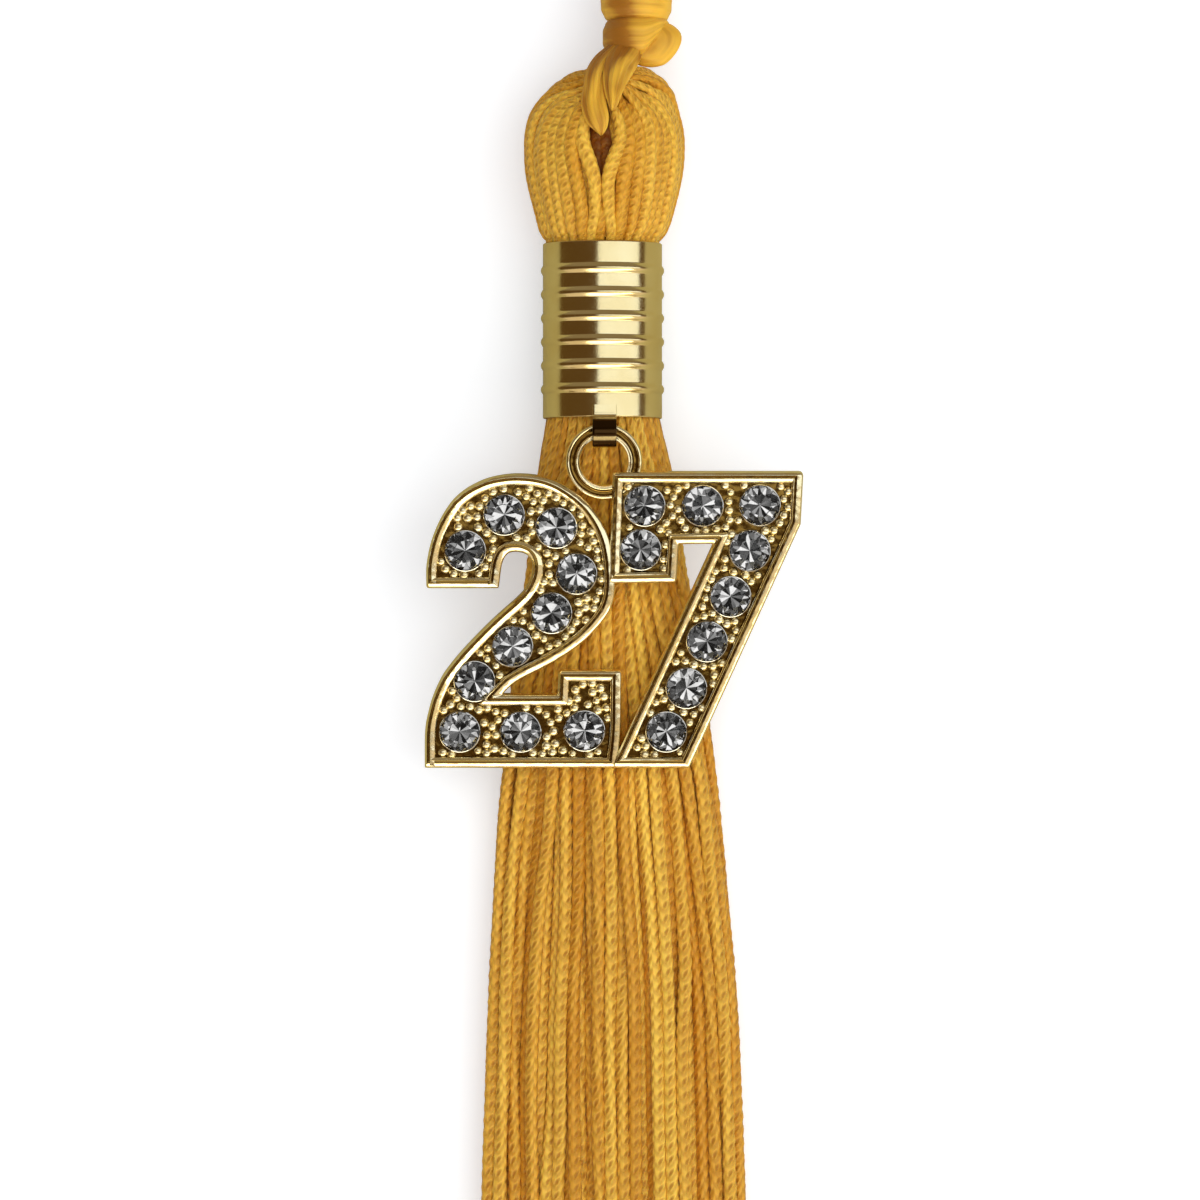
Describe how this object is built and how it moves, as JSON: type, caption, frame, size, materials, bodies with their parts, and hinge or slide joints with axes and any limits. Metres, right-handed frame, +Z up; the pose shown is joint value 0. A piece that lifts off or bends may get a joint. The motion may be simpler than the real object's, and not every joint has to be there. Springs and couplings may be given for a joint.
{
  "type": "graduation tassel",
  "caption": "Yarn graduation tassel with a beaded metal sleeve, a knotted satin cord loop and a swinging year charm set with round stones.",
  "frame": {"origin": "on the surface the tassel lies on, under the middle of its box without the free cord loop", "axes": "+Z up off the surface, out of the tassel's front; +Y along the tassel towards its hanging loop; +X to the right as seen from above"},
  "size_m": [0.0376, 0.3281, 0.0151],
  "materials": {
    "rayon_yarn": "satin",
    "satin_cord": "satin",
    "polished_gold": "polished",
    "antique_gold": "antiqued",
    "clear_stone": "polished"
  },
  "bodies": {
    "tassel": {"yarn": "rayon_yarn", "ferrule": "polished_gold", "bail": "polished_gold", "hanger_knot": "satin_cord", "hanger_loop": "satin_cord"},
    "charm_body": {"charm": "antique_gold", "stone_01": "clear_stone", "stone_02": "clear_stone", "stone_03": "clear_stone", "stone_04": "clear_stone", "stone_05": "clear_stone", "stone_06": "clear_stone", "stone_07": "clear_stone", "stone_08": "clear_stone", "stone_09": "clear_stone", "stone_10": "clear_stone", "stone_11": "clear_stone", "stone_12": "clear_stone", "stone_13": "clear_stone", "stone_14": "clear_stone", "stone_15": "clear_stone", "stone_16": "clear_stone", "stone_17": "clear_stone", "stone_18": "clear_stone", "stone_19": "clear_stone"}
  },
  "joints": [
    {"name": "charm_swing", "type": "hinge", "parent": "tassel", "child": "charm_body", "pos_m": [-0.0009, 0.07286, 0.01355], "axis": [-1, 0, 0], "range_deg": [0, 174]}
  ]
}
